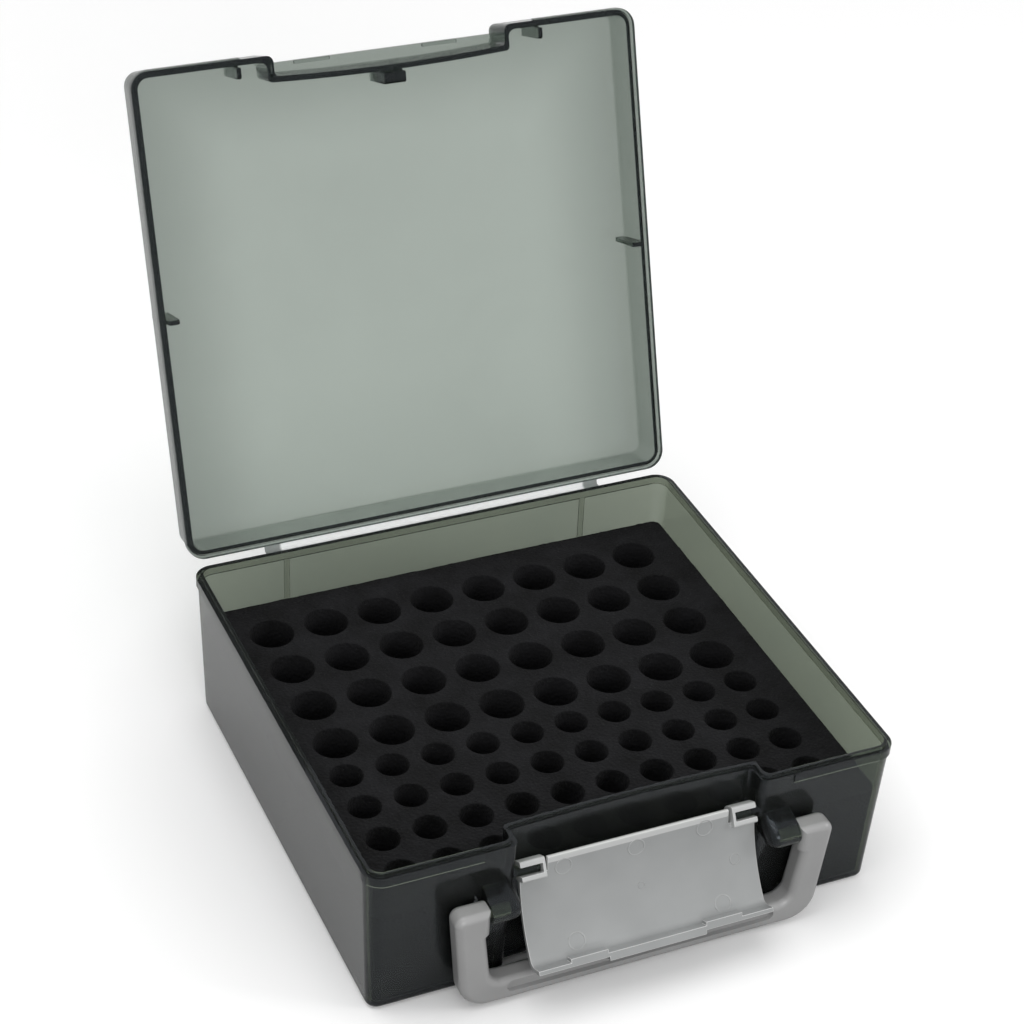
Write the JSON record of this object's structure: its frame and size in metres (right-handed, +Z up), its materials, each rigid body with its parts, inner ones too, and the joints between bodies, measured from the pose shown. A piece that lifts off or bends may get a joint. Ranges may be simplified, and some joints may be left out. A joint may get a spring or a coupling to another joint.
{
  "type": "battery organizer case",
  "caption": "Flat carry case with a hinged see-through lid, front latch, swing handle and a punched foam insert that holds round battery cells upright.",
  "frame": {"origin": "centre of the tray's underside", "axes": "+X to the right along the front, +Y to the hinge at the back, +Z up"},
  "size_m": [0.179, 0.2521, 0.2121],
  "materials": {
    "smoke_plastic": "satin",
    "clear_plastic": "satin",
    "handle_plastic": "satin",
    "foam": "matte"
  },
  "bodies": {
    "case": {"tray": "smoke_plastic", "hinge_web_tray": "clear_plastic", "foam_insert": "foam"},
    "lid": {"lid": "clear_plastic", "hinge_web_lid": "clear_plastic"},
    "latch": {"latch": "clear_plastic"},
    "handle": {"handle": "handle_plastic"}
  },
  "joints": [
    {"name": "lid_hinge", "type": "hinge", "parent": "case", "child": "lid", "pos_m": [0, 0.08375, 0.0554], "axis": [-1, 0, 0], "range_deg": [-109.24, 70.76]},
    {"name": "latch_pivot", "type": "hinge", "parent": "case", "child": "latch", "pos_m": [0, -0.0794, 0.0423], "axis": [-1, 0, 0], "range_deg": [-13, 153]},
    {"name": "handle_pivot", "type": "hinge", "parent": "case", "child": "handle", "pos_m": [0, -0.0867, 0.0362], "axis": [-1, 0, 0], "range_deg": [0, 180]}
  ]
}
